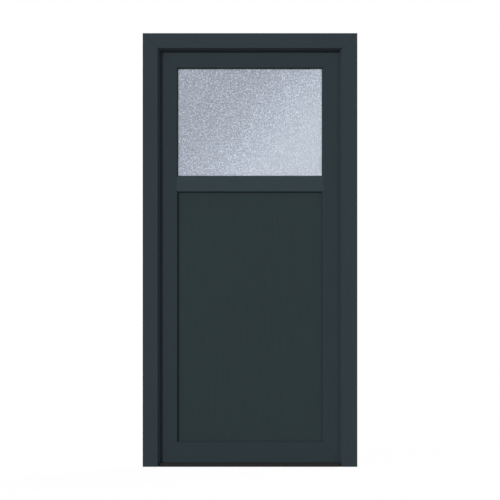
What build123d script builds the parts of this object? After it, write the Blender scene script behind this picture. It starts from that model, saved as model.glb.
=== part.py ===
from build123d import *
import os

# A PVC side-entrance door with its frame: an inward-opening leaf with a textured
# light above a mid rail and a plain panel below it. Sizes are in millimetres, +Z is up,
# +Y points into the house and the origin is on the ground under the sill's centre.

# Whole door, over the frame
DOOR_WIDTH = 980
DOOR_HEIGHT = 1980

# Frame profile: u runs from the door's outer edge to its middle, v from outside to inside
FRAME_FACE = 68
FRAME_BEVEL = 12
FRAME_DEPTH = 70
FRAME_BODY = 50
LIP_DEPTH = 23
EDGE_ROUND = 2
WALL_GROOVE = 14
WALL_GROOVE_DEPTH = 4

# Leaf profile
REBATE_GAP = 12
SEAL_GAP = 5
LEAF_FACE = 93
LEAF_BEVEL = 5
GLAZING_LIP = 10
GLAZING_REBATE = 20
LEAF_OVERLAP = 8
FLANGE_DEPTH = 17
LOCK_GROOVE = 20
LOCK_GROOVE_DEPTH = 3
FLOOR_GAP = 16

# Hollow chambers inside the profiles and the steel tubes that stiffen them
WALL = 3
WEB = 1.5
SIDE_CHAMBER = 9
STEEL = 1.5
STEEL_CLEARANCE = 0.3
STEEL_END = 12

# Mid rail between the light and the panel
MID_RAIL_HEIGHT = 1292
MID_RAIL_FACE = 64

# Glazing: outer gasket, sealed unit, inner gasket and bead
OUTER_GASKET = 3
INNER_GASKET = 3
GASKET_WIDTH = 9
GASKET_SHOW = 1
UNIT_DEPTH = 24
PANE = 4
SKIN = 2
SPACER_WIDTH = 10
SETTING_GAP = 7
BEAD_SLOPE = 8
BEAD_FOOT = 2
BEAD_FOOT_DEPTH = 3.5

# Seals, the slots that hold them, and the sill
SEAL_WIDTH = 7
SEAL_TIP = 3
SEAL_CLEARANCE = 1
SLOT_WIDTH = 3
SLOT_DEPTH = 4
SLOT_CLEARANCE = 0.2
SILL_STOP = 16.5
SILL_DECK = 7.5
SILL_CAP = 3
SILL_TAIL = 3
SILL_RIB = 2
SILL_RIB_DEPTH = 1
SILL_RIBS = 5
BRUSH_WIDTH = 8

# Hinges on the inside of the left jamb
HINGE_MARGIN = 240
HINGE_LENGTH = 110
HINGE_AXIS_OUT = 14
HINGE_AXIS_SIDE = 7
KNUCKLE_R = 9
KNUCKLE_GAP = 1
PIN_R = 4.5
PIN_CLEARANCE = 0.05
PLATE = 5
PLATE_WIDTH = 34
PLATE_ROUND = 1.5
CAP_HEIGHT = 4

# Lock on the right stile and its strikes on the right jamb
LOCK_HEIGHT = 1020
BOLT_MARGIN = 230
FACEPLATE_MARGIN = 130
FACEPLATE_WIDTH = 20
BOLT_WIDTH = 12
BOLT_LENGTH = 36
BOLT_PROUD = 1
BOLT_CLEARANCE = 0.5
STRIKE = 3
STRIKE_WIDTH = 26
STRIKE_LENGTH = 110
STRIKE_CLEARANCE = 2
MAIN_STRIKE_LENGTH = 220
LATCH_RISE = 46

# Wall fixings through each jamb: a clear hole to the wall and a wider one for the screw head
FIXING_R = 4
FIXING_HEAD_R = 6
FIXING_MARGIN = 200

# Places that follow from the sizes
HALF_W = DOOR_WIDTH / 2
Y_OUT = -FRAME_DEPTH / 2
LIP_END = FRAME_FACE + FRAME_BEVEL
LEAF_EDGE = FRAME_BODY + REBATE_GAP
LEAF_FLAT = LEAF_EDGE + LEAF_FACE
LEAF_LIP = LEAF_FLAT + LEAF_BEVEL
REBATE_FLOOR = LEAF_LIP - GLAZING_REBATE
FLANGE_EDGE = FRAME_BODY - LEAF_OVERLAP
V_LEAF = LIP_DEPTH + SEAL_GAP
V_FLANGE = FRAME_DEPTH + SEAL_GAP
V_INSIDE = V_FLANGE + FLANGE_DEPTH
V_LIP_BACK = V_LEAF + GLAZING_LIP
V_UNIT = V_LIP_BACK + OUTER_GASKET
V_UNIT_BACK = V_UNIT + UNIT_DEPTH
V_BEAD = V_UNIT_BACK + INNER_GASKET
V_FOOT = (V_BEAD + V_INSIDE) / 2
V_LOCK = (V_LEAF + V_FLANGE) / 2
LEAF_FOOT = FLOOR_GAP - LEAF_EDGE
LEAF_TOP = DOOR_HEIGHT - LEAF_EDGE
RAIL_LIP = MID_RAIL_FACE / 2 + LEAF_BEVEL
RAIL_BODY = RAIL_LIP - GLAZING_REBATE
FOOT_GROOVE = BEAD_FOOT_DEPTH + SLOT_CLEARANCE
U_FRAME_SEAL = LIP_END - SEAL_WIDTH
U_LEAF_SEAL = FLANGE_EDGE + WALL
AXIS_U = FLANGE_EDGE - HINGE_AXIS_SIDE
AXIS_V = V_INSIDE + HINGE_AXIS_OUT

# Rectangles that rings of bars follow: left, bottom, right, top
FRAME_RING = (-HALF_W, 0, HALF_W, DOOR_HEIGHT)
LEAF_RING = (-HALF_W, LEAF_FOOT, HALF_W, DOOR_HEIGHT)
LIGHT_RING = (
    REBATE_FLOOR - HALF_W,
    MID_RAIL_HEIGHT + RAIL_BODY,
    HALF_W - REBATE_FLOOR,
    DOOR_HEIGHT - REBATE_FLOOR,
)
PANEL_RING = (
    REBATE_FLOOR - HALF_W,
    LEAF_FOOT + REBATE_FLOOR,
    HALF_W - REBATE_FLOOR,
    MID_RAIL_HEIGHT - RAIL_BODY,
)
SIDES = ("left", "top", "right", "bottom")


def outline(points):
    """A closed section from (u, v) points; a third number rounds that corner."""
    corners = [point[:2] for point in points]
    radii = [point[2] if len(point) > 2 else 0 for point in points]
    return make_face(FilletPolyline(*corners, radius=radii, close=True))


def window(u0, v0, u1, v1):
    """A rectangle between two corners of a section."""
    return Pos((u0 + u1) / 2, (v0 + v1) / 2) * Rectangle(u1 - u0, v1 - v0)


def block(u0, v0, z0, u1, v1, z1, side="left"):
    """A box between two (u, v, z) corners, with u measured from that side of the door."""
    solid = Pos(u0 - HALF_W, v0 + Y_OUT, z0) * Box(u1 - u0, v1 - v0, z1 - z0, align=(Align.MIN,) * 3)
    return solid if side == "left" else mirror(solid, about=Plane.YZ)


def below(height):
    """Everything lower than a height, to cut bars off level."""
    return Pos(0, 0, height - DOOR_HEIGHT / 2) * Box(2 * DOOR_WIDTH, DOOR_WIDTH, DOOR_HEIGHT)


def bar(section, ring, side, square=""):
    """One side of a ring, mitred at both ends, or cut square where it stands on the ground."""
    left, bottom, right, top = ring
    origin, across, along, length = {
        "left": ((left, Y_OUT, bottom), (1, 0, 0), (0, 0, 1), top - bottom),
        "top": ((left, Y_OUT, top), (0, 0, -1), (1, 0, 0), right - left),
        "right": ((right, Y_OUT, top), (-1, 0, 0), (0, 0, -1), top - bottom),
        "bottom": ((right, Y_OUT, bottom), (0, 0, 1), (-1, 0, 0), right - left),
    }[side]
    box = section.bounding_box()
    u0, u1 = box.min.X, box.max.X
    start = 0 if square == "start" else 1
    end = 0 if square == "end" else 1
    corners = [(u0, start * u0), (u1, start * u1), (u1, length - end * u1), (u0, length - end * u0)]
    mitre = extrude(Plane.XZ * make_face(Polyline(*corners, close=True)), amount=2 * box.max.Y, both=True)
    return Plane(origin, x_dir=across, z_dir=along) * (extrude(section, amount=length) & mitre)


def ring_of(section, ring):
    """Four mitred bars joined at the corners."""
    return sum((bar(section, ring, side) for side in SIDES[1:]), bar(section, ring, SIDES[0]))


def three_sides(section, foot):
    """Bars up both sides and over the top of the frame, standing at the height foot."""
    arch = bar(section, FRAME_RING, "left", "start") + bar(section, FRAME_RING, "top")
    arch += bar(section, FRAME_RING, "right", "end")
    return arch - below(foot)


def upright(section, low, high):
    """A (u, v) section of the left side run up from one height to another."""
    return Pos(-HALF_W, Y_OUT, low) * extrude(section, amount=high - low)


def tube(chamber):
    """The section of a steel tube that slides into a chamber."""
    u0, v0, u1, v1 = chamber
    gap = STEEL_CLEARANCE
    outside = window(u0 + gap, v0 + gap, u1 - gap, v1 - gap)
    gap += STEEL
    return outside - window(u0 + gap, v0 + gap, u1 - gap, v1 - gap)


# Frame profile: face, bevelled lip with a seal slot, rebate for the leaf, grooves in the wall side
frame_section = outline([
    (0, 0), (FRAME_FACE, 0, EDGE_ROUND), (LIP_END, FRAME_BEVEL, EDGE_ROUND), (LIP_END, LIP_DEPTH),
    (FRAME_BODY, LIP_DEPTH), (FRAME_BODY, FRAME_DEPTH, EDGE_ROUND), (0, FRAME_DEPTH),
])
frame_section -= window(U_FRAME_SEAL, LIP_DEPTH - SLOT_DEPTH, U_FRAME_SEAL + SLOT_WIDTH, LIP_DEPTH)
groove_mouth = WALL_GROOVE / 2 - WALL_GROOVE_DEPTH / 2
for share in (0.27, 0.73):
    middle = share * FRAME_DEPTH
    frame_section -= outline([
        (0, middle - groove_mouth), (WALL_GROOVE_DEPTH, middle - WALL_GROOVE / 2),
        (WALL_GROOVE_DEPTH, middle + WALL_GROOVE / 2), (0, middle + groove_mouth),
    ])

# Frame chambers: two behind the face, one for the steel, one along the rebate, one at the back
wall_side = WALL_GROOVE_DEPTH + WALL
front_back = LIP_DEPTH - WALL
rebate_web = FRAME_BODY - WALL - SIDE_CHAMBER / 2
frame_steel_room = (wall_side, front_back + WEB, rebate_web - WEB, FRAME_DEPTH - WALL - SIDE_CHAMBER - WEB)
front_end = FRAME_FACE - WEB
front_middle = (wall_side + front_end) / 2
frame_rooms = [
    (wall_side, WALL, front_middle - WEB / 2, front_back),
    (front_middle + WEB / 2, WALL, front_end, front_back),
    frame_steel_room,
    (rebate_web, LIP_DEPTH + WALL, FRAME_BODY - WALL, FRAME_DEPTH - WALL),
    (wall_side, FRAME_DEPTH - WALL - SIDE_CHAMBER, rebate_web - WEB, FRAME_DEPTH - WALL),
]
for room in frame_rooms:
    frame_section -= window(*room)

hinge_jamb = bar(frame_section, FRAME_RING, "left", "start")
lock_jamb = bar(frame_section, FRAME_RING, "right", "end")
frame_head = bar(frame_section, FRAME_RING, "top")
hinge_jamb_steel = upright(tube(frame_steel_room), STEEL_END, DOOR_HEIGHT - LIP_END - STEEL_END)
lock_jamb_steel = mirror(hinge_jamb_steel, about=Plane.YZ)

# Four wall fixings through each jamb, from the rebate floor to the wall, with square openings
# in the webs and steels between them
fixing_step = (DOOR_HEIGHT - 2 * FIXING_MARGIN) / 3
fixing_v = (LIP_DEPTH + FRAME_DEPTH) / 2
head_end = FRAME_BODY - WALL
for number in range(4):
    height = FIXING_MARGIN + number * fixing_step
    spot = Pos(0, fixing_v + Y_OUT, height) * Rot(0, 90, 0)
    fixing = spot * Cylinder(FIXING_R, DOOR_WIDTH) + spot * Cylinder(FIXING_HEAD_R, DOOR_WIDTH - 2 * head_end)
    for side in ("left", "right"):
        fixing += block(
            wall_side, fixing_v - FIXING_HEAD_R, height - FIXING_HEAD_R,
            head_end, fixing_v + FIXING_HEAD_R, height + FIXING_HEAD_R, side)
    hinge_jamb -= fixing
    lock_jamb -= fixing
    hinge_jamb_steel -= fixing
    lock_jamb_steel -= fixing

# Leaf profile: face, bevel to the glazing rebate, bead groove, inside face and the flange
# that laps the frame, with the groove for the lock in its edge
leaf_solid = outline([
    (LEAF_EDGE, V_LEAF, EDGE_ROUND), (LEAF_FLAT, V_LEAF, EDGE_ROUND),
    (LEAF_LIP, V_LEAF + LEAF_BEVEL, EDGE_ROUND), (LEAF_LIP, V_LIP_BACK), (REBATE_FLOOR, V_LIP_BACK),
    (REBATE_FLOOR, V_INSIDE), (FLANGE_EDGE, V_INSIDE, EDGE_ROUND), (FLANGE_EDGE, V_FLANGE),
    (LEAF_EDGE, V_FLANGE),
])
foot_half = BEAD_FOOT / 2 + SLOT_CLEARANCE
lock_room = LEAF_EDGE + LOCK_GROOVE_DEPTH
leaf_section = leaf_solid - window(LEAF_EDGE, V_LOCK - LOCK_GROOVE / 2, lock_room, V_LOCK + LOCK_GROOVE / 2)
leaf_section -= window(REBATE_FLOOR - FOOT_GROOVE, V_FOOT - foot_half, REBATE_FLOOR, V_FOOT + foot_half)
leaf_section -= window(U_LEAF_SEAL, V_FLANGE, U_LEAF_SEAL + SLOT_WIDTH, V_FLANGE + SLOT_DEPTH)

# Leaf chambers, in a front, a middle and a back row
leaf_front = (V_LEAF + WALL, V_LIP_BACK - WALL)
leaf_middle = (V_LIP_BACK - WALL + WEB, V_FLANGE + WALL - WEB)
leaf_back = (V_FLANGE + WALL, V_INSIDE - WALL)
floor_side = REBATE_FLOOR - FOOT_GROOVE - WALL
leaf_centre = (LEAF_EDGE + LEAF_FLAT) / 2
leaf_steel_room = (
    lock_room + WALL + SIDE_CHAMBER + WEB, leaf_middle[0], floor_side - SIDE_CHAMBER - WEB, leaf_middle[1])
leaf_rooms = [
    (LEAF_EDGE + WALL, leaf_front[0], leaf_centre - WEB / 2, leaf_front[1]),
    (leaf_centre + WEB / 2, leaf_front[0], LEAF_FLAT, leaf_front[1]),
    (lock_room + WALL, leaf_middle[0], lock_room + WALL + SIDE_CHAMBER, leaf_middle[1]),
    leaf_steel_room,
    (floor_side - SIDE_CHAMBER, leaf_middle[0], floor_side, leaf_middle[1]),
    (LEAF_EDGE + WALL, leaf_back[0], leaf_centre - WEB / 2, leaf_back[1]),
    (leaf_centre + WEB / 2, leaf_back[0], floor_side, leaf_back[1]),
]
for room in leaf_rooms:
    leaf_section -= window(*room)

hinge_stile = bar(leaf_section, LEAF_RING, "left") - below(FLOOR_GAP)
lock_stile = bar(leaf_section, LEAF_RING, "right") - below(FLOOR_GAP)
top_rail = bar(leaf_section, LEAF_RING, "top")
bottom_rail = bar(leaf_section, LEAF_RING, "bottom") - below(FLOOR_GAP)
steel_low = LEAF_FOOT + LEAF_LIP + STEEL_END
hinge_stile_steel = upright(tube(leaf_steel_room), steel_low, DOOR_HEIGHT - LEAF_LIP - STEEL_END)
lock_stile_steel = mirror(hinge_stile_steel, about=Plane.YZ)

# Mid rail with a bead groove above and below, its ends scribed over the bevels of the stiles
rail_section = outline([
    (-MID_RAIL_FACE / 2, V_LEAF, EDGE_ROUND), (MID_RAIL_FACE / 2, V_LEAF, EDGE_ROUND),
    (RAIL_LIP, V_LEAF + LEAF_BEVEL, EDGE_ROUND), (RAIL_LIP, V_LIP_BACK), (RAIL_BODY, V_LIP_BACK),
    (RAIL_BODY, V_INSIDE), (-RAIL_BODY, V_INSIDE), (-RAIL_BODY, V_LIP_BACK), (-RAIL_LIP, V_LIP_BACK),
    (-RAIL_LIP, V_LEAF + LEAF_BEVEL, EDGE_ROUND),
])
rail_room = RAIL_BODY - FOOT_GROOVE - WALL
rail_section -= window(-MID_RAIL_FACE / 2, leaf_front[0], MID_RAIL_FACE / 2, leaf_front[1])
rail_section -= window(-rail_room, leaf_middle[0], rail_room, leaf_middle[1])
rail_section -= window(-rail_room, leaf_back[0], rail_room, leaf_back[1])
for edge in (RAIL_BODY - FOOT_GROOVE, -RAIL_BODY):
    rail_section -= window(edge, V_FOOT - foot_half, edge + FOOT_GROOVE, V_FOOT + foot_half)
rail_start = Plane((LEAF_EDGE - HALF_W, Y_OUT, MID_RAIL_HEIGHT), x_dir=(0, 0, -1), z_dir=(1, 0, 0))
mid_rail = rail_start * extrude(rail_section, amount=DOOR_WIDTH - 2 * LEAF_EDGE)
scribe = upright(outline([
    (0, V_LEAF - WALL), (LEAF_FLAT, V_LEAF - WALL), (LEAF_FLAT, V_LEAF), (LEAF_LIP, V_LEAF + LEAF_BEVEL),
    (LEAF_LIP, V_LIP_BACK), (REBATE_FLOOR, V_LIP_BACK), (REBATE_FLOOR, V_INSIDE + WALL), (0, V_INSIDE + WALL),
]), MID_RAIL_HEIGHT - MID_RAIL_FACE, MID_RAIL_HEIGHT + MID_RAIL_FACE)
mid_rail -= [scribe, mirror(scribe, about=Plane.YZ)]


def glazing(ring):
    """Gaskets on both faces of the infill and the four beads that hold it in a rebate ring."""
    show = GLAZING_REBATE + GASKET_SHOW
    hidden = GLAZING_REBATE - GASKET_WIDTH
    outer = ring_of(outline([
        (hidden, V_LIP_BACK), (GLAZING_REBATE, V_LIP_BACK), (show, V_LIP_BACK + GASKET_SHOW / 2),
        (show, V_UNIT), (hidden, V_UNIT),
    ]), ring)
    inner = ring_of(outline([
        (hidden, V_UNIT_BACK), (show, V_UNIT_BACK), (show, V_BEAD - GASKET_SHOW / 2),
        (GLAZING_REBATE, V_BEAD), (hidden, V_BEAD),
    ]), ring)
    bead = outline([
        (0, V_BEAD), (GLAZING_REBATE, V_BEAD), (GLAZING_REBATE, V_INSIDE - BEAD_SLOPE, EDGE_ROUND),
        (GLAZING_REBATE - BEAD_SLOPE / 2, V_INSIDE, EDGE_ROUND), (0, V_INSIDE),
    ]) + window(-BEAD_FOOT_DEPTH, V_FOOT - BEAD_FOOT / 2, 0, V_FOOT + BEAD_FOOT / 2)
    return outer, inner, {side: bar(bead, ring, side) for side in SIDES}


def sheet(ring, v0, v1):
    """A flat sheet set in a rebate ring with the setting gap all round."""
    left, bottom, right, top = ring
    width = right - left - 2 * SETTING_GAP
    height = top - bottom - 2 * SETTING_GAP
    middle = ((left + right) / 2, (v0 + v1) / 2 + Y_OUT, (bottom + top) / 2)
    return Pos(*middle) * Box(width, v1 - v0, height)


# Sealed unit of the light: textured outer pane, spacer, clear inner pane
light_outer_gasket, light_inner_gasket, light_beads = glazing(LIGHT_RING)
outer_pane = sheet(LIGHT_RING, V_UNIT, V_UNIT + PANE)
inner_pane = sheet(LIGHT_RING, V_UNIT_BACK - PANE, V_UNIT_BACK)
pane_spacer = ring_of(
    window(SETTING_GAP, V_UNIT + PANE, SETTING_GAP + SPACER_WIDTH, V_UNIT_BACK - PANE), LIGHT_RING)

# Sandwich panel below the mid rail
panel_outer_gasket, panel_inner_gasket, panel_beads = glazing(PANEL_RING)
panel_outer_skin = sheet(PANEL_RING, V_UNIT, V_UNIT + SKIN)
panel_core = sheet(PANEL_RING, V_UNIT + SKIN, V_UNIT_BACK - SKIN)
panel_inner_skin = sheet(PANEL_RING, V_UNIT_BACK - SKIN, V_UNIT_BACK)

# Sill between the jambs: a base on the ground and a cap with the stop in front of the leaf
# and shallow ribs where a foot treads
sill_section = outline([
    (0, 0), (FRAME_DEPTH, 0), (FRAME_DEPTH, SILL_TAIL), (FRAME_DEPTH - SILL_DECK, SILL_DECK),
    (LIP_DEPTH, SILL_DECK), (LIP_DEPTH, SILL_STOP, EDGE_ROUND / 2), (0, SILL_STOP, EDGE_ROUND),
])
rib_step = (FRAME_DEPTH - SILL_DECK - LIP_DEPTH) / (SILL_RIBS + 1)
for number in range(1, SILL_RIBS + 1):
    rib = LIP_DEPTH + number * rib_step
    sill_section -= window(rib - SILL_RIB / 2, SILL_DECK - SILL_RIB_DEPTH, rib + SILL_RIB / 2, SILL_DECK)
sill_long = extrude(Plane.YZ * Pos(Y_OUT, 0) * sill_section, amount=HALF_W - FRAME_BODY, both=True)
for side in ("left", "right"):
    sill_long -= block(0, 0, 0, LIP_END, LIP_DEPTH, DOOR_HEIGHT, side)
sill_split = below(SILL_DECK - SILL_CAP)
sill_base = sill_long & sill_split
sill_cap = sill_long - sill_split


def seal(u, v, reach):
    """A seal whose foot fills its slot at (u, v) and whose lip stands out by reach."""
    foot_end = v - (SLOT_DEPTH - SLOT_CLEARANCE) * reach / abs(reach)
    lip = outline([
        (u, v), (u + SEAL_WIDTH, v), (u + SEAL_WIDTH / 2 + SEAL_TIP / 2, v + reach, SEAL_TIP / 3),
        (u + SEAL_WIDTH / 2 - SEAL_TIP / 2, v + reach, SEAL_TIP / 3),
    ])
    return lip + window(u + SLOT_CLEARANCE, min(v, foot_end), u + SLOT_WIDTH - SLOT_CLEARANCE, max(v, foot_end))


# Seals: in the lip of the frame, in the flange of the leaf, and a brush under the leaf
seal_reach = SEAL_GAP - SEAL_CLEARANCE
frame_seal = three_sides(seal(U_FRAME_SEAL, LIP_DEPTH, seal_reach), SILL_DECK)
leaf_seal = three_sides(seal(U_LEAF_SEAL, V_FLANGE, -seal_reach), FLOOR_GAP)
brush_v = V_LEAF + BRUSH_WIDTH
leaf_brush = block(
    LEAF_EDGE, brush_v, SILL_DECK + SEAL_CLEARANCE,
    DOOR_WIDTH - LEAF_EDGE, brush_v + BRUSH_WIDTH, FLOOR_GAP)

# Hinges: a plate on the frame with two knuckles, a plate on the leaf with one, and a pin
knuckle = HINGE_LENGTH / 3
axis_spot = Pos(AXIS_U, AXIS_V)
barrel = axis_spot * Circle(KNUCKLE_R)
pin_hole = axis_spot * Circle(PIN_R + PIN_CLEARANCE)
frame_plate = outline([
    (AXIS_U - PLATE_WIDTH, FRAME_DEPTH), (AXIS_U, FRAME_DEPTH), (AXIS_U, FRAME_DEPTH + PLATE, PLATE_ROUND),
    (AXIS_U - PLATE_WIDTH, FRAME_DEPTH + PLATE, PLATE_ROUND),
])
frame_arm = outline([
    (AXIS_U - KNUCKLE_R, FRAME_DEPTH), (AXIS_U, FRAME_DEPTH), (AXIS_U, AXIS_V), (AXIS_U - KNUCKLE_R, AXIS_V),
]) + barrel - pin_hole
plate_start = FLANGE_EDGE + PLATE
leaf_plate = outline([
    (plate_start, V_INSIDE), (plate_start + PLATE_WIDTH, V_INSIDE),
    (plate_start + PLATE_WIDTH, V_INSIDE + PLATE, PLATE_ROUND), (plate_start, V_INSIDE + PLATE, PLATE_ROUND),
])
leaf_arm = outline([
    (AXIS_U, AXIS_V - KNUCKLE_R), (plate_start + PLATE, V_INSIDE), (plate_start + PLATE, V_INSIDE + PLATE),
    (AXIS_U, AXIS_V),
]) + barrel - pin_hole

hinges = {}
for name, height in (
    ("bottom", HINGE_MARGIN), ("middle", DOOR_HEIGHT / 2), ("top", DOOR_HEIGHT - HINGE_MARGIN),
):
    low, high = height - HINGE_LENGTH / 2, height + HINGE_LENGTH / 2
    on_frame = upright(frame_plate, low, high)
    on_frame += upright(frame_arm, low, low + knuckle)
    on_frame += upright(frame_arm, high - knuckle, high)
    on_leaf = upright(leaf_plate, low, high)
    on_leaf += upright(leaf_arm, low + knuckle + KNUCKLE_GAP, high - knuckle - KNUCKLE_GAP)
    pin = upright(axis_spot * Circle(PIN_R), low, high)
    pin += upright(barrel, high, high + CAP_HEIGHT)
    pin += upright(barrel, low - CAP_HEIGHT, low)
    hinges[name] = (on_frame, on_leaf, pin)


def bolt_block(height, u0, u1, clearance):
    """A bolt's outline on the lock edge at a height, grown by a clearance."""
    half_v, half_z = BOLT_WIDTH / 2 + clearance, BOLT_LENGTH / 2 + clearance
    return block(u0, V_LOCK - half_v, height - half_z, u1, V_LOCK + half_v, height + half_z, "right")


def strike_plate(height, length):
    """A plate on the rebate floor of the lock jamb."""
    half = STRIKE_WIDTH / 2
    return block(
        FRAME_BODY, V_LOCK - half, height - length / 2,
        FRAME_BODY + STRIKE, V_LOCK + half, height + length / 2, "right")


# Lock: a faceplate in the groove of the stile, its bolts drawn back, and strikes with the
# pockets that the bolts would enter
upper_height = LEAF_TOP - BOLT_MARGIN
lower_height = FLOOR_GAP + BOLT_MARGIN
strikes = {
    "main_strike": strike_plate(LOCK_HEIGHT, MAIN_STRIKE_LENGTH),
    "upper_strike": strike_plate(upper_height, STRIKE_LENGTH),
    "lower_strike": strike_plate(lower_height, STRIKE_LENGTH),
}
lock_faceplate = block(
    LEAF_EDGE, V_LOCK - FACEPLATE_WIDTH / 2, FLOOR_GAP + FACEPLATE_MARGIN,
    lock_room, V_LOCK + FACEPLATE_WIDTH / 2, LEAF_TOP - FACEPLATE_MARGIN, "right")
lock_bolts = []
for strike, height in (
    ("main_strike", LOCK_HEIGHT + LATCH_RISE), ("main_strike", LOCK_HEIGHT - LATCH_RISE),
    ("upper_strike", upper_height), ("lower_strike", lower_height),
):
    lock_faceplate -= bolt_block(height, LEAF_EDGE, lock_room, BOLT_CLEARANCE)
    lock_bolts.append(bolt_block(height, LEAF_EDGE - BOLT_PROUD, lock_room, 0))
    strikes[strike] -= bolt_block(height, FRAME_BODY, FRAME_BODY + STRIKE, STRIKE_CLEARANCE)
    lock_jamb -= bolt_block(height, FRAME_BODY - WALL, FRAME_BODY, STRIKE_CLEARANCE)

nodes = {
    "frame_hinge_jamb": hinge_jamb,
    "frame_lock_jamb": lock_jamb,
    "frame_head": frame_head,
    "frame_steels": Compound(children=[*hinge_jamb_steel.solids(), *lock_jamb_steel.solids()]),
    "frame_seal": frame_seal,
    "sill_base": sill_base,
    "sill_cap": sill_cap,
    "leaf_hinge_stile": hinge_stile,
    "leaf_lock_stile": lock_stile,
    "leaf_top_rail": top_rail,
    "leaf_bottom_rail": bottom_rail,
    "leaf_mid_rail": mid_rail,
    "leaf_steels": Compound(children=[*hinge_stile_steel.solids(), *lock_stile_steel.solids()]),
    "leaf_seal": leaf_seal,
    "leaf_brush": leaf_brush,
    "light_outer_pane": outer_pane,
    "light_inner_pane": inner_pane,
    "light_spacer": pane_spacer,
    "light_outer_gasket": light_outer_gasket,
    "light_inner_gasket": light_inner_gasket,
    "panel_outer_skin": panel_outer_skin,
    "panel_core": panel_core,
    "panel_inner_skin": panel_inner_skin,
    "panel_outer_gasket": panel_outer_gasket,
    "panel_inner_gasket": panel_inner_gasket,
    "lock_faceplate": lock_faceplate,
    "lock_bolts": Compound(children=[solid for bolt in lock_bolts for solid in bolt.solids()]),
}
for side in SIDES:
    nodes[f"light_bead_{side}"] = light_beads[side]
    nodes[f"panel_bead_{side}"] = panel_beads[side]
for name, plate in strikes.items():
    nodes[name] = plate
for name, (on_frame, on_leaf, pin) in hinges.items():
    nodes[f"{name}_hinge_frame_plate"] = on_frame
    nodes[f"{name}_hinge_leaf_plate"] = on_leaf
    nodes[f"{name}_hinge_pin"] = pin

os.makedirs("parts", exist_ok=True)
for name, shape in nodes.items():
    export_step(shape, f"parts/{name}.step")
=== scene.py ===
# %% [markdown]
# # Dressing a PVC entrance door
# The door arrives as exact solids: a welded frame, a leaf that swings inward, a textured light
# above a mid rail and a flat panel below it. This lesson gives every solid its finish, adds the
# small things that are too fine for the solids, and sets up the plain white studio.
# All lengths are metres, +Z is up, and the outside of the door faces -Y.

# %% Load the solids
import math

import bmesh
import bpy
from mathutils import Matrix, Vector, noise


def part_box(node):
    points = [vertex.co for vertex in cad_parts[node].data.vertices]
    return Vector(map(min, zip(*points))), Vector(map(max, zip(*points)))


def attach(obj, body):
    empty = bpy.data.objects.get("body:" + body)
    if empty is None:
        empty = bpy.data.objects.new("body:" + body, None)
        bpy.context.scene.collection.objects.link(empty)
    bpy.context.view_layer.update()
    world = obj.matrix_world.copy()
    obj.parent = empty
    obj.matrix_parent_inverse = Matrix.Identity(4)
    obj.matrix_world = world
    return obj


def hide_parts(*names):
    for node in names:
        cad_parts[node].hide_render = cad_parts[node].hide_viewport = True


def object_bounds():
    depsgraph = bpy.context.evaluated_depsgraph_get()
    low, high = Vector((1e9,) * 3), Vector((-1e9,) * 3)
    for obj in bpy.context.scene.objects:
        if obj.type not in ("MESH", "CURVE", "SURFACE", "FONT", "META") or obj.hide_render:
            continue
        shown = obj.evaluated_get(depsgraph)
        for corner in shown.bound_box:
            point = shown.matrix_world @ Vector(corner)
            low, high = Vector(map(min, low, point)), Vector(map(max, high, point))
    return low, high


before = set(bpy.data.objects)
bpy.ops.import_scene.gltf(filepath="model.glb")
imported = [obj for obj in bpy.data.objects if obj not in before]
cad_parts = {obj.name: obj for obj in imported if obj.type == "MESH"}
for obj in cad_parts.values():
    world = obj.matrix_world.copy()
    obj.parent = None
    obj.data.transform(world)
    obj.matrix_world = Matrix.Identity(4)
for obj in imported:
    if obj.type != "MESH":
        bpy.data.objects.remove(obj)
cad_low, cad_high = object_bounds()
print("solids:", len(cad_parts), "box:", [round(v, 4) for v in (*cad_low, *cad_high)])

# %% [markdown]
# ## Shader maths as plain sums
# A finish is a small graph of nodes. Wiring each Math node by hand hides the idea, so `Wire`
# wraps an output and lets ordinary sums add the nodes. The reflected forms are there so that a
# number may come first, as in 1 - mask.

# %% Wire
class Wire:
    """An output of a node that can be used in sums."""

    def __init__(self, graph, socket):
        self.graph = graph
        self.socket = socket

    def math(self, operation, first, second=0.0):
        """The output of a new Math node."""
        return self.graph.add("ShaderNodeMath", {"operation": operation}, {0: first, 1: second})

    def __add__(self, other):
        return self.math("ADD", self, other)

    __radd__ = __add__

    def __mul__(self, other):
        return self.math("MULTIPLY", self, other)

    __rmul__ = __mul__

    def __sub__(self, other):
        return self.math("SUBTRACT", self, other)

    def __rsub__(self, other):
        return self.math("SUBTRACT", other, self)

    def __abs__(self):
        return self.math("ABSOLUTE", self)

    def least(self, other):
        """The smaller of two values."""
        return self.math("MINIMUM", self, other)

    def ramp(self, low, high):
        """0 below low, 1 above high, smooth between."""
        sockets = {"Value": self, "From Min": low, "From Max": high}
        return self.graph.add("ShaderNodeMapRange", {"interpolation_type": "SMOOTHSTEP"}, sockets)

    def other(self, name):
        """Another output of the same node."""
        return Wire(self.graph, self.socket.node.outputs[name])


print("sums on wires ready")

# %% [markdown]
# ## One graph for each finish
# Every finish here reads the solid's own coordinates, which move with it when the leaf swings.
# `Graph.add` makes every node: first its type, then its settings, then what goes into its sockets.
# Grain is noise of a stated size, a tint scales a colour by a wire, and the surface is always
# Blender's Principled shader, so those few words are methods of the graph.

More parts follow.
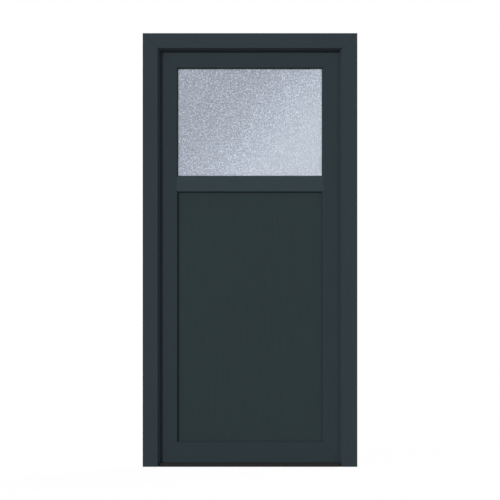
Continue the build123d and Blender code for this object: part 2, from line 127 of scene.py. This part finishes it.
# %% Graph
class Graph:
    """The nodes of one material or world."""

    def __init__(self, owner):
        self.owner = owner
        owner.use_nodes = True
        self.tree = owner.node_tree
        self.tree.nodes.clear()

    def add(self, kind, settings=None, sockets=None, out=0):
        """Makes a node and gives one of its outputs."""
        node = self.tree.nodes.new(kind)
        for name, value in (settings or {}).items():
            setattr(node, name, value)
        for name, value in (sockets or {}).items():
            slot = node.inputs[name]
            if isinstance(value, Wire):
                self.tree.links.new(value.socket, slot)
            elif slot.type == "RGBA":
                slot.default_value = (*value, 1.0)
            else:
                slot.default_value = value
        return Wire(self, node.outputs[out]) if node.outputs else None

    def place(self):
        """The solid's own coordinates."""
        return self.add("ShaderNodeTexCoord", out="Object")

    def drawn(self, place, scale):
        """Coordinates in which a pattern is drawn out along each axis whose scale is under 1."""
        return self.add("ShaderNodeMapping", None, {"Vector": place, "Scale": scale})

    def grain(self, where, size, detail=2.0, roughness=0.5):
        """Noise from 0 to 1 whose lumps are about that size."""
        sockets = {"Vector": where, "Scale": 1 / size, "Detail": detail, "Roughness": roughness}
        return self.add("ShaderNodeTexNoise", None, sockets, "Fac")

    def tint(self, colour, amount):
        """A colour made darker or lighter by a wire."""
        return self.add("ShaderNodeVectorMath", {"operation": "SCALE"}, {0: colour, "Scale": amount})

    def bump(self, height, strength, distance):
        """Normals tilted as if the surface had that height."""
        sockets = {"Height": height, "Strength": strength, "Distance": distance}
        return self.add("ShaderNodeBump", None, sockets)

    def surface(self, sockets):
        """Closes the graph with the shader that light meets."""
        return self.close(self.add("ShaderNodeBsdfPrincipled", None, sockets))

    def close(self, shader):
        """Joins a shader to the material's output and gives the material."""
        self.add("ShaderNodeOutputMaterial", None, {"Surface": shader})
        return self.owner


print("graph ready")

# %% [markdown]
# ## Putting a finish on
# The solids come in plain colours. A finish starts as an empty graph, and `dress` puts it in the
# place of the plain one. Colours are easiest to judge as a screen shows them, but shaders count in
# linear values, so `shade` turns the one into the other.

# %% Finish, dress and shade
def finish(name):
    """An empty graph for a new material."""
    return Graph(bpy.data.materials.new(name))


def dress(material, *names):
    """Gives solids a finish in place of the plain one they came with."""
    for name in names:
        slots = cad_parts[name].data.materials
        slots.clear()
        slots.append(material)


def shade(red, green, blue):
    """A colour as a screen shows it, from 0 to 255, in the linear values that shaders use."""
    parts = (red / 255, green / 255, blue / 255)
    return tuple(v / 12.92 if v <= 0.04045 else ((v + 0.055) / 1.055) ** 2.4 for v in parts)


print("middle grey in linear values:", round(shade(128, 128, 128)[0], 3))

# %% [markdown]
# ## Grained foil
# The profiles are PVC wrapped in a dark grey foil. The foil is satin, has fine embossed pores that
# run along each bar, and is never quite even. The bevels behind each outer face get a painted shade
# that makes them darker than the faces, most of all under the head. Where two bars are welded at a
# corner, the seam is cleaned off as a hair-fine groove at 45 degrees. The pores are noise drawn out
# along the bar, and the painted shade and the seam need no mesh: both are sums of the solid's own
# coordinates.

# %% Measures of the foil
HALF_WIDTH = cad_high.x
HEIGHT = cad_high.z
leaf_low, leaf_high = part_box("leaf_bottom_rail")
LEAF_CORNER = leaf_low.z - (HALF_WIDTH - leaf_high.x)

PORE, STREAK, SAND, CLOUD = 0.0013, 0.009, 0.0008, 0.45
ALONG = {"x": (0.06, 1.0, 1.0), "z": (1.0, 1.0, 0.06)}
CUT_EDGES = 0.52, 0.7
FOIL_TONE = 0.795
CLOUD_TONE, STREAK_TONE, PORE_TONE, CUT_TONE = 0.1, 0.16, 0.24, 0.2
PORE_RISE, SAND_RISE, CUT_SINK = 0.5, 0.3, 0.8
SATIN, SAND_ROUGH, CUT_ROUGH = 0.4, 0.12, 0.08
EMBOSS, EMBOSS_DEPTH = 0.5, 0.0003
SEAM_IN, SEAM_OUT = 0.0003, 0.0016
SEAM_DARK, SEAM_SINK = 0.45, 2.0
# Painted shade: the bevels behind an outer face are darkened, most of all under the head.
BEVEL_SHADE_START, BEVEL_SHADE_END = 0.0006, 0.03
SIDE_PAINTED_SHADE, HEAD_PAINTED_SHADE = 0.13, 0.35
print("leaf mitres meet", round(LEAF_CORNER, 4), "m from the ground")

# %% [markdown]
# ## The foil's graph
# The tone and the relief are built up side by side, because a pore is darker as well as deeper.
# The painted shade on the bevels and the seams only join where a bar has them. A seam lies where a
# point is as far in from the side as it is from the top or the foot, so the difference of the two is
# its distance.

# %% Foil
def foil(name, colour, along, face=None, seams=(), painted_shade=SIDE_PAINTED_SHADE):
    """Satin foil with grain along an axis, painted shade on the bevels behind an outer face and welds at
    corners.
    """
    sheet = finish(name)
    place = sheet.place()
    bar = sheet.drawn(place, ALONG[along])
    pores = sheet.grain(bar, PORE, 3.0, 0.6)
    streaks = sheet.grain(bar, STREAK)
    sand = sheet.grain(place, SAND, 1.0)
    cloud = sheet.grain(place, CLOUD)
    cuts = pores.ramp(*CUT_EDGES)
    tone = FOIL_TONE + CLOUD_TONE * cloud + STREAK_TONE * streaks + PORE_TONE * pores - CUT_TONE * cuts
    relief = PORE_RISE * pores + SAND_RISE * sand - CUT_SINK * cuts
    split = sheet.add("ShaderNodeSeparateXYZ", None, {0: place}, "X")
    if face is not None:
        # Painted shade: the bevels just behind the outer face are made darker.
        depth = split.other("Y") - face
        behind = depth.ramp(0.0, BEVEL_SHADE_START) - depth.ramp(BEVEL_SHADE_END, 2 * BEVEL_SHADE_END)
        tone = tone * (1 - painted_shade * behind)
    if seams:
        up = split.other("Z")
        inward = HALF_WIDTH - abs(split)
        gaps = {"top": abs(inward - (HEIGHT - up)), "bottom": abs(inward - (up - LEAF_CORNER))}
        gap = gaps[seams[0]]
        for corner in seams[1:]:
            gap = gap.least(gaps[corner])
        groove = 1 - gap.ramp(SEAM_IN, SEAM_OUT)
        tone = tone * (1 - SEAM_DARK * groove)
        relief = relief - SEAM_SINK * groove
    return sheet.surface({
        "Base Color": sheet.tint(colour, tone),
        "Roughness": SATIN + SAND_ROUGH * sand + CUT_ROUGH * cuts,
        "Specular IOR Level": 0.1, "Normal": sheet.bump(relief, EMBOSS, EMBOSS_DEPTH),
    })


print("pores are", 1000 * PORE, "mm wide")

# %% [markdown]
# ## Which bar gets which foil
# Upright bars and level bars differ only in the way their grain runs. The frame, the leaf, the mid
# rail and the panel are a shade apart, as they are when rolls of foil come from different batches.

# %% Dress the profiles
frame_tone = shade(44, 54, 59)
leaf_tone = shade(41, 52, 56)
rail_tone = shade(48, 60, 66)
panel_tone = shade(39, 51, 53)
frame_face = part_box("frame_head")[0].y
leaf_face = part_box("leaf_top_rail")[0].y
corners = ["top", "bottom"]

dress(foil("foil_jamb", frame_tone, "z", frame_face, ["top"]), "frame_hinge_jamb", "frame_lock_jamb")
# The head's bevels get the darkest painted shade.
dress(foil("foil_head", frame_tone, "x", frame_face, ["top"], HEAD_PAINTED_SHADE), "frame_head")
dress(foil("foil_stile", leaf_tone, "z", leaf_face, corners), "leaf_hinge_stile", "leaf_lock_stile")
dress(foil("foil_rail", leaf_tone, "x", leaf_face, corners), "leaf_top_rail", "leaf_bottom_rail")
dress(foil("foil_mid_rail", rail_tone, "x"), "leaf_mid_rail")
dress(foil("foil_panel", panel_tone, "z"), "panel_outer_skin", "panel_inner_skin")
upright_bead = foil("foil_bead_upright", leaf_tone, "z")
level_bead = foil("foil_bead_level", leaf_tone, "x")
for field in ("light", "panel"):
    dress(upright_bead, f"{field}_bead_left", f"{field}_bead_right")
    dress(level_bead, f"{field}_bead_top", f"{field}_bead_bottom")
print("foil finishes:", sum(m.name.startswith("foil") for m in bpy.data.materials))

# %% [markdown]
# ## Rubber and foam
# Gaskets are matt black rubber with a bloom of dust. The sill's core and the panel's foam are matt
# too, so one recipe with another colour serves all three.

# %% Rubber and foam
DUST = 0.02
BARE_TONE, DUST_TONE = 0.6, 0.8
MATT, DUST_ROUGH = 0.7, 0.15
SKIN, SKIN_BITE, SKIN_DEPTH = 0.0006, 0.15, 0.0002


def rubber(name, colour):
    """A matt skin, paler and rougher where dust lies."""
    matt = finish(name)
    place = matt.place()
    dust = matt.grain(place, DUST, 4.0, 0.7)
    skin = matt.grain(place, SKIN, 1.0)
    return matt.surface({
        "Base Color": matt.tint(colour, BARE_TONE + DUST_TONE * dust),
        "Roughness": MATT + DUST_ROUGH * dust,
        "Specular IOR Level": 0.2, "Normal": matt.bump(skin, SKIN_BITE, SKIN_DEPTH),
    })


dress(rubber("black_rubber", (0.012, 0.014, 0.015)), "frame_seal", "leaf_seal", "light_outer_gasket",
      "light_inner_gasket", "panel_outer_gasket", "panel_inner_gasket")
dress(rubber("sill_core", (0.016, 0.015, 0.015)), "sill_base")
dress(rubber("panel_foam", (0.5, 0.56, 0.58)), "panel_core")
print("rubber and foam done")

# %% [markdown]
# ## Metals
# The sill is dark bronze aluminium with fine drawing lines along it. The hinges are powder coated
# in the frame's colour, the lock edge is zinc-plated steel, and the tubes inside the profiles are
# galvanised. Lines are noise drawn out a hundred times along the way the metal was pulled.

# %% Metals
DRAW_LINE, LINE_DEPTH = 0.0009, 0.0001
PATCH, PATCH_ROUGH = 0.03, 0.18
METAL_TONE, LINE_TONE, PATCH_TONE = 0.8, 0.25, 0.15
PULLED = {"x": (0.01, 1.0, 1.0), "z": (1.0, 1.0, 0.01), None: (1.0, 1.0, 1.0)}


def metal(name, colour, along, rough, metallic, bite, shine=0.25):
    """Metal with drawing or rolling lines along one axis, or an even coat where there is none."""
    plate = finish(name)
    place = plate.place()
    lines = plate.grain(plate.drawn(place, PULLED[along]), DRAW_LINE, 3.0, 0.7)
    patch = plate.grain(place, PATCH, 3.0)
    return plate.surface({
        "Base Color": plate.tint(colour, METAL_TONE + LINE_TONE * lines + PATCH_TONE * patch),
        "Roughness": rough + PATCH_ROUGH * patch, "Metallic": metallic, "Specular IOR Level": shine,
        "Normal": plate.bump(lines, bite, LINE_DEPTH),
    })


print("drawing lines are", 1000 * DRAW_LINE, "mm wide")

# %% [markdown]
# ## Which metal goes where
# One recipe makes all five metals. Bare zinc and aluminium are fully metallic, the galvanised tubes
# a little less, and the bronze and the powder coat are nearly plain paint.

# %% Dress the metals
HINGES = ("bottom", "middle", "top")
bronze = metal("bronze_sill", shade(37, 34, 33), "x", rough=0.42, metallic=0.1, bite=0.2, shine=0.1)
zinc = metal("zinc_plate", (0.46, 0.47, 0.48), "z", rough=0.28, metallic=1.0, bite=0.2)
spacer = metal("spacer_bar", (0.45, 0.46, 0.47), "x", rough=0.35, metallic=1.0, bite=0.1)
galvanised = metal("galvanised", (0.42, 0.43, 0.44), None, rough=0.4, metallic=0.9, bite=0.1)
coat = metal("hinge_coat", frame_tone, None, rough=0.4, metallic=0.0, bite=0.25)

dress(bronze, "sill_cap")
dress(zinc, "lock_faceplate", "lock_bolts", "main_strike", "upper_strike", "lower_strike")
dress(spacer, "light_spacer")
dress(galvanised, "frame_steels", "leaf_steels")
for level in HINGES:
    dress(coat, f"{level}_hinge_frame_plate", f"{level}_hinge_leaf_plate", f"{level}_hinge_pin")
print("metals done, with", len(HINGES), "hinges")

# %% [markdown]
# ## Pebbled glass
# The light is glazed with obscure glass. Its outer face was rolled while soft, so it is covered in
# short strokes, taller than wide, and nothing shows through. A grid of 2 mm is fine enough to carry
# the strokes as real relief. The grid's points are pushed in by noise, and never out, so the pane
# stays inside the solid it stands for, and the deepest hollows get flat floors. The noise is cut on
# a slope, because its own lattice would beat against the grid if the two lay level. Each point
# keeps its depth, because the shader paints light on the ridges and shade in the hollows from it.

# %% Relief of the pane
GRID = 0.002
STROKE, STROKE_TALL, STROKE_DEPTH = 0.003, 2.2, 0.0006
SLOPE = 0.35
SWING, DEEPEST = 0.6, 0.82
HALF_DEEP = 0.5


def hollow(x, z):
    """Depth of the relief at a point of the pane, from 0 on a ridge to DEEPEST in a hollow."""
    spot = Vector((x, SLOPE * (x + z), z / STROKE_TALL)) / STROKE
    return min(DEEPEST, max(0.0, HALF_DEEP + SWING * noise.noise(spot)))


pane_low, pane_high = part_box("light_outer_pane")
pane_middle, pane_size = (pane_low + pane_high) / 2, pane_high - pane_low
columns, rows = round(pane_size.x / GRID), round(pane_size.z / GRID)
print("the pane takes", columns, "by", rows, "cells")

# %% [markdown]
# ## Rolling the pane
# The rolled face is a flat grid that is stood up, spread to the pane's size and pushed in point by
# point. Its border is then drawn back to the plane of the smooth face, and one large face closes it,
# because the smooth side needs no cells. That side takes the middle depth as its own.

# %% Mesh of the pane
pane = bmesh.new()
depth = pane.verts.layers.float.new("hollow")
outside = Matrix.Translation((pane_middle.x, pane_low.y, pane_middle.z))
upright = outside @ Matrix.Rotation(math.radians(90), 4, "X")
spread = upright @ Matrix.Diagonal((pane_size.x, pane_size.z, 1, 1))
bmesh.ops.create_grid(pane, x_segments=columns, y_segments=rows, size=0.5, matrix=spread)
for vert in pane.verts:
    vert[depth] = hollow(vert.co.x, vert.co.z)
    vert.co.y += STROKE_DEPTH * vert[depth]
bmesh.ops.extrude_edge_only(pane, edges=[e for e in pane.edges if e.is_boundary])
rim = [e for e in pane.edges if e.is_boundary]
for vert in {v for e in rim for v in e.verts}:
    vert.co.y = pane_high.y
    vert[depth] = HALF_DEEP
bmesh.ops.holes_fill(pane, edges=rim, sides=0)
print("pane:", len(pane.faces), "faces")

# %% [markdown]
# ## How the glass is shaded
# Light on the ridges of the relief and shade in its hollows are painted into the colour, so the pane
# is a net of painted light strokes, with a fine grit of painted sparkle between them, on a blue grey
# ground. Along the pane's diagonal the colour gets a painted light that grows towards the lower right,
# the ground goes from one blue to a paler one, and the strokes grow calmer. Most of the light comes
# through the pane, and the rest is scattered at its face. The rolled face is rough and the back is
# smooth, so the strokes show from inside too.

# %% Frosted glass
GRIT, GRIT_DRAWN = 0.0016, (1.0, 1.0, 0.6)
HAZE = 0.08
DEEP_BLUE = (0.560, 0.603, 0.710)
PALE_BLUE = (0.564, 0.604, 0.687)
BLUE_SPAN = 0.0, 0.4
# Painted light: the colour grows lighter along the pane's diagonal towards the lower right.
PAINTED_LIGHT_LEAST, PAINTED_LIGHT_GAIN, PAINTED_LIGHT_SPAN = 0.85, 0.385, (-0.28, 0.37)
CALM, CALM_SPAN = 0.55, (0.02, 0.38)
GROUND = 0.862
# Painted light on the ridges and shade in the hollows, painted glints on the ridge tops and painted
# sparkle in the grit.
RIDGE_PAINTED_LIGHT, PAINTED_GLINT_TONE, GRIT_PAINTED_SPARKLE, HAZE_TONE = 1.7, 0.75, 0.55, 0.1
PAINTED_GLINT_EDGES = 0.55, 0.8
ROLLED, GRIT_ROUGH, POLISH = 0.3, 0.1, 0.27
THROUGH = 0.84
GLASS_IOR = 1.5


def frosted(name, deep, pale):
    """Obscure glass with painted light strokes and a painted light along its diagonal, on a ground that
    goes from a deep to a pale colour.
    """
    glass = finish(name)
    place = glass.place()
    ridge = 1 - glass.add("ShaderNodeAttribute", {"attribute_name": "hollow"}, out="Fac")
    grit = glass.grain(glass.drawn(place, GRIT_DRAWN), GRIT, 0.0)
    haze = glass.grain(place, HAZE)
    across = glass.add("ShaderNodeSeparateXYZ", None, {0: place}, "X")
    slant = across + (pane_middle.z - across.other("Z"))
    # Painted light that grows along the diagonal towards the lower right.
    painted_light = PAINTED_LIGHT_LEAST + PAINTED_LIGHT_GAIN * slant.ramp(*PAINTED_LIGHT_SPAN)
    # Painted glints on the ridge tops, painted light on the ridges and shade in the hollows, and painted
    # sparkle in the grit.
    painted_glints = ridge.ramp(*PAINTED_GLINT_EDGES)
    strokes = RIDGE_PAINTED_LIGHT * (ridge - 0.5) + PAINTED_GLINT_TONE * painted_glints + GRIT_PAINTED_SPARKLE * (grit - 0.5)
    speck = GROUND + strokes * (1 - CALM * slant.ramp(*CALM_SPAN)) + HAZE_TONE * (haze - 0.5)
    # The Mix node takes its colours at sockets 6 and 7 and gives the result at 2.
    sides = {0: slant.ramp(*BLUE_SPAN), 6: deep, 7: pale}
    colour = glass.add("ShaderNodeMix", {"data_type": "RGBA"}, sides, 2)
    back = across.other("Y").ramp(pane_middle.y, pane_high.y)
    return glass.surface({
        "Base Color": glass.tint(colour, painted_light * speck),
        "Roughness": ROLLED + GRIT_ROUGH * grit - POLISH * back,
        "Transmission Weight": THROUGH, "IOR": GLASS_IOR, "Specular IOR Level": 0.3,
    })


print("grit is", 1000 * GRIT, "mm wide")

# %% [markdown]
# ## From a bmesh to a piece
# A bmesh is only a draft. The pane is smooth over its strokes and sharp only where its rim turns,
# and it stands in for the plain one.

# %% Outer pane
SHARP_TURN = 50


def grow(name, mesh, body, material):
    """Turns a bmesh into a piece that rides on a body."""
    bmesh.ops.recalc_face_normals(mesh, faces=mesh.faces)
    data = bpy.data.meshes.new(name)
    mesh.to_mesh(data)
    mesh.free()
    data.materials.append(material)
    piece = bpy.data.objects.new(name, data)
    bpy.context.scene.collection.objects.link(piece)
    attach(piece, body)
    return piece


obscure = frosted("frosted_glass", DEEP_BLUE, PALE_BLUE)
pebbled = grow("pebbled_pane", pane, "leaf", obscure)
pebbled.data.shade_smooth()
pebbled.data.set_sharp_from_angle(angle=math.radians(SHARP_TURN))
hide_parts("light_outer_pane")
print("pebbled pane:", len(pebbled.data.polygons), "faces")

# %% [markdown]
# ## Clear glass
# The inner pane of the sealed unit is plain float glass. A trace of uneven roughness keeps its
# mirror image from being perfect, as wiping does on a real pane.

# %% Inner pane
SMEAR = 0.12
WIPED, SMEAR_ROUGH = 0.02, 0.03


def clear(name, colour):
    """Float glass with faint smears."""
    glass = finish(name)
    smear = glass.grain(glass.place(), SMEAR, 3.0)
    return glass.surface({
        "Base Color": colour, "Roughness": WIPED + SMEAR_ROUGH * smear,
        "Transmission Weight": 1.0, "IOR": GLASS_IOR,
    })


dress(clear("clear_glass", (0.95, 0.98, 0.97)), "light_inner_pane")
print("both panes dressed")

# %% [markdown]
# ## Screws
# Hinges, strikes and the lock's faceplate are screwed on. A head is a low cone with a socket:
# the top face is inset twice, and the second time pushed in. One function serves all of them, and
# the heads on one body share one mesh.

# %% A screw head
RISE, SOCKET = 0.0011, 0.0008
SIDES = 18
TAPER, RIM, SOCKET_WALL = 0.78, 0.36, 0.02
HINGE_SCREW, STRIKE_SCREW, LOCK_SCREW = 0.0042, 0.0038, 0.0035


def screw(mesh, spot, out, radius):
    """Adds a head at a spot, standing out along a direction."""
    out = Vector(out)
    turn = out.to_track_quat("Z", "Y").to_matrix().to_4x4()
    made = bmesh.ops.create_cone(
        mesh, cap_ends=True, segments=SIDES, radius1=radius, radius2=TAPER * radius, depth=RISE,
        matrix=Matrix.Translation(spot) @ turn @ Matrix.Translation((0, 0, RISE / 2)))
    caps = [f for f in {f for v in made["verts"] for f in v.link_faces} if len(f.verts) > 4]
    top = max(caps, key=lambda f: (f.calc_center_median() - spot).dot(out))
    bmesh.ops.inset_region(mesh, faces=[top], thickness=RIM * radius)
    bmesh.ops.inset_region(mesh, faces=[top], thickness=SOCKET_WALL * radius, depth=-SOCKET)


frame_heads, leaf_heads = bmesh.new(), bmesh.new()
print("a head rises", 1000 * RISE, "mm")

# %% [markdown]
# ## Where the screws go
# Three screws hold each hinge plate from the inside, two hold each strike in the lock jamb, and six
# hold the long faceplate in the edge of the leaf. Hinge and lock screws stand at shares of their
# plates' own boxes, and strike screws a set way in from the ends.

# %% Place the screws
PLATE = 0.005
PLATE_SIDES = ((frame_heads, "frame", 0.22), (leaf_heads, "leaf", 0.8))
HINGE_SHARES = (0.14, 0.5, 0.86)
LOCK_SHARES = (0.01, 0.2, 0.38, 0.62, 0.8, 0.99)
STRIKE_END = 0.012

plate_back = {"frame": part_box("frame_head")[1].y + PLATE, "leaf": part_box("leaf_mid_rail")[1].y + PLATE}
for level in HINGES:
    for heads, plate, share in PLATE_SIDES:
        low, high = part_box(f"{level}_hinge_{plate}_plate")
        x = low.x + share * (high.x - low.x)
        for height in HINGE_SHARES:
            spot = Vector((x, plate_back[plate], low.z + height * (high.z - low.z)))
            screw(heads, spot, (0, 1, 0), HINGE_SCREW)
for strike in ("main_strike", "upper_strike", "lower_strike"):
    low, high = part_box(strike)
    for z in (low.z + STRIKE_END, high.z - STRIKE_END):
        screw(frame_heads, Vector((low.x, (low.y + high.y) / 2, z)), (-1, 0, 0), STRIKE_SCREW)
low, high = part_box("lock_faceplate")
for height in LOCK_SHARES:
    spot = Vector((high.x, (low.y + high.y) / 2, low.z + height * (high.z - low.z)))
    screw(leaf_heads, spot, (1, 0, 0), LOCK_SCREW)
for name, mesh, body in (("frame_screws", frame_heads, "frame"), ("leaf_screws", leaf_heads, "leaf")):
    print(name, len(mesh.faces), "faces")
    grow(name, mesh, body, zinc)

# %% [markdown]
# ## Brush under the leaf
# A strip of bristles closes the gap over the sill. Two staggered rows of thin tufts hang from a
# backing, and each tuft is one narrow box, because there are hundreds of them. A little noise moves
# the tufts off their even pitch. Such noise is nought at whole numbers, so it is read halfway
# between two of them.

# %% Bristles
BACKING = 0.0022
PITCH = 0.0022
TUFT_WIDE, TUFT_DEEP = 0.0013, 0.0022
SWAY, HALFWAY = 0.0004, 0.5
TUFT_ROWS = (0.3, 0.7)

low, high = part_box("leaf_brush")
brush = bmesh.new()
strip = Matrix.Diagonal((high.x - low.x, high.y - low.y, BACKING, 1))
strip_middle = Vector(((low.x + high.x) / 2, (low.y + high.y) / 2, high.z - BACKING / 2))
bmesh.ops.create_cube(brush, size=1, matrix=Matrix.Translation(strip_middle) @ strip)
hang = high.z - BACKING - low.z
tuft = Matrix.Diagonal((TUFT_WIDE, TUFT_DEEP, hang, 1))
tufts = int((high.x - low.x) / PITCH) - 1
for row, share in enumerate(TUFT_ROWS):
    y = low.y + share * (high.y - low.y)
    for number in range(tufts):
        sway = SWAY * noise.noise((number, row, HALFWAY))
        x = low.x + PITCH * (number + 0.5 + 0.5 * row) + sway
        bmesh.ops.create_cube(brush, size=1, matrix=Matrix.Translation((x, y, low.z + hang / 2)) @ tuft)
print("tufts:", len(TUFT_ROWS) * tufts)

# %% [markdown]
# ## Colour of the brush
# The pile is near black, and single strands catch a little more light than their neighbours. Fine
# noise drawn out ten times down the tuft gives that, so no strand has to be modelled.

# %% Pile
STRAND, STRAND_DRAWN = 0.0005, (1.0, 1.0, 0.1)
PILE_BLACK = (0.02, 0.02, 0.021)
PILE_TONE, STRAND_TONE = 0.4, 1.2

pile = finish("brush_pile")
strand = pile.grain(pile.drawn(pile.place(), STRAND_DRAWN), STRAND)
black = pile.tint(PILE_BLACK, PILE_TONE + STRAND_TONE * strand)
pile.surface({"Base Color": black, "Roughness": 0.8})
bristles = grow("brush_bristles", brush, "leaf", pile.owner)
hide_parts("leaf_brush")
print("brush:", len(bristles.data.polygons), "faces")

# %% [markdown]
# ## Camera
# The picture is a straight front view with no vanishing lines, so the camera stands far back
# with a long lens, level with the door's middle. At 500 pixels across, one pixel is about 4.6 mm.

# %% Camera
PIXEL, PICTURE = 0.004565, 500
LONG_LENS, SENSOR = 200, 36
SIGHT = 100

lens = bpy.data.cameras.new("front_camera")
lens.lens = LONG_LENS
lens.sensor_width = SENSOR
lens.clip_end = SIGHT
away = PICTURE * PIXEL * LONG_LENS / SENSOR
camera = bpy.data.objects.new("front_camera", lens)
camera.location = (0, frame_face - away, HEIGHT / 2)
camera.rotation_euler = (math.radians(90), 0, 0)
bpy.context.scene.collection.objects.link(camera)
bpy.context.scene.camera = camera
print("camera stands", round(away, 3), "m away")

# %% [markdown]
# ## Two suns
# A sun from the upper left makes the recess of the leaf read: it shades the left and top edges
# and lights the right one. A softer one from behind does the same for the inside of the door.

# %% Suns
def sun(name, towards, energy, softness):
    """A sun that stands in a direction, with a disc of that many degrees."""
    lamp = bpy.data.lights.new(name, "SUN")
    lamp.energy = energy
    lamp.angle = math.radians(softness)
    stand = bpy.data.objects.new(name, lamp)
    stand.rotation_euler = Vector(towards).to_track_quat("Z", "Y").to_euler()
    bpy.context.scene.collection.objects.link(stand)


sun("key_sun", towards=(-0.74, -1.0, 0.5), energy=2.12, softness=14)
sun("back_sun", towards=(0.9, 1.0, 1.1), energy=2.4, softness=30)
print("suns:", len(bpy.data.lights))

# %% [markdown]
# ## White sky
# An even grey sky fills the shadows, so that a colour shows about as it was written. The eye,
# mirrors and glass see a white room instead, which is why the sky asks what kind of ray is looking.

# %% Sky
WHITE = (1.0, 1.0, 1.0)
FILL = 0.58


def seen_white(graph):
    """1 for rays that look straight at the room, by eye, mirror or glass."""
    path = graph.add("ShaderNodeLightPath", out="Is Camera Ray")
    return (path + path.other("Is Glossy Ray") + path.other("Is Transmission Ray")).least(1.0)


room = Graph(bpy.data.worlds.new("white_room"))
strength = FILL + (1 - FILL) * seen_white(room)
sky = room.add("ShaderNodeBackground", None, {"Color": WHITE, "Strength": strength})
room.add("ShaderNodeOutputWorld", None, {"Surface": sky})
bpy.context.scene.world = room.owner
bpy.context.scene.view_settings.view_transform = "Standard"
print("sky fills shadows at", FILL)

# %% [markdown]
# ## White floor
# The floor asks the same question as the sky. It is mostly white light to the eye, and keeps a
# trace of its own shading, and so the door's shadow.

# %% Floor
FLOOR_REACH, FLOOR_SIDES = 60, 64
FLOOR_GREY = (0.22, 0.22, 0.22)
FLOOR_GLOW, FLOOR_WHITE = 1.1, 0.88

disc = bmesh.new()
bmesh.ops.create_circle(disc, cap_ends=True, segments=FLOOR_SIDES, radius=FLOOR_REACH)
floor_data = bpy.data.meshes.new("floor")
disc.to_mesh(floor_data)
disc.free()
floor = bpy.data.objects.new("floor", floor_data)
bpy.context.scene.collection.objects.link(floor)
paint = finish("floor_white")
shaded = paint.add("ShaderNodeBsdfDiffuse", None, {"Color": FLOOR_GREY})
lit = paint.add("ShaderNodeEmission", None, {"Color": WHITE, "Strength": FLOOR_GLOW})
blend = {0: FLOOR_WHITE * seen_white(paint), 1: shaded, 2: lit}
floor_data.materials.append(paint.close(paint.add("ShaderNodeMixShader", None, blend)))
print("floor reaches", FLOOR_REACH, "m")
